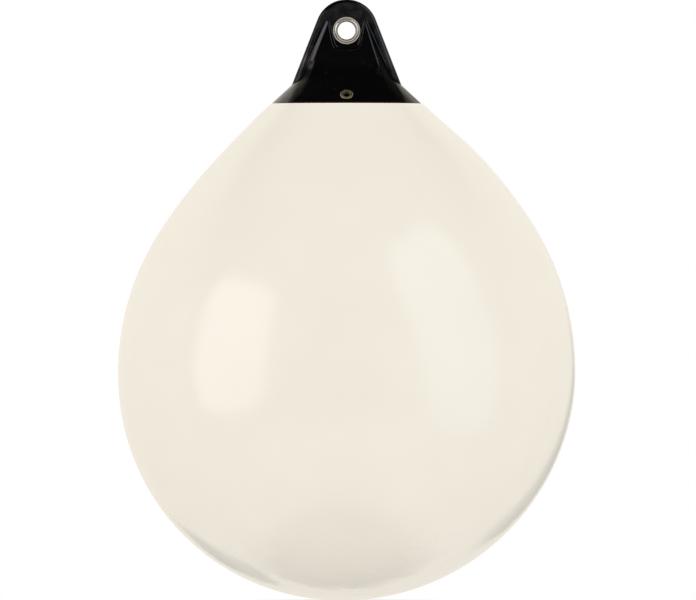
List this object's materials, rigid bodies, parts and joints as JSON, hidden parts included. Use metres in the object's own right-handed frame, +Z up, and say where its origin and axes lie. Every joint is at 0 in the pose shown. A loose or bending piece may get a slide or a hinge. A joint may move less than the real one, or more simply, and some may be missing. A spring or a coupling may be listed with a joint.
{
  "type": "inflatable teardrop mooring buoy",
  "caption": "Inflatable teardrop buoy: a blown white vinyl float with a black moulded rope hold, a metal-lined eye at its top and a screw valve in its collar.",
  "frame": {"origin": "centre of the rope eye's bore", "axes": "+Z up along the float's axis, +Y along the eye's bore, pointing away from the side with the valve"},
  "size_m": [0.5198, 0.52, 0.6837],
  "materials": {
    "white_vinyl": "satin, blown vinyl",
    "black_vinyl": "gloss, moulded vinyl",
    "ferrule_steel": "pressed, polished stainless steel",
    "valve_brass": "turned, dull brass",
    "washer_rubber": "matt nitrile rubber"
  },
  "bodies": {
    "buoy": {"float_body": "white_vinyl", "rope_hold": "black_vinyl", "eye_ferrule": "ferrule_steel", "valve_body": "valve_brass"},
    "washer": {"valve_washer": "washer_rubber"},
    "plug": {"valve_plug": "valve_brass"}
  },
  "joints": [
    {"name": "plug_lift", "type": "slide", "parent": "buoy", "child": "washer", "axis": [0, -0.6774, 0.7356], "range_m": [0, 0.0075]},
    {"name": "plug_turn", "type": "hinge", "parent": "washer", "child": "plug", "pos_m": [0, -0.07337, -0.07493], "axis": [0, -0.6774, 0.7356], "range_deg": [0, 2160]}
  ],
  "couplings": [
    {"joint": "plug_turn", "follows": "plug_lift", "rad_per_m": 5026.5}
  ]
}
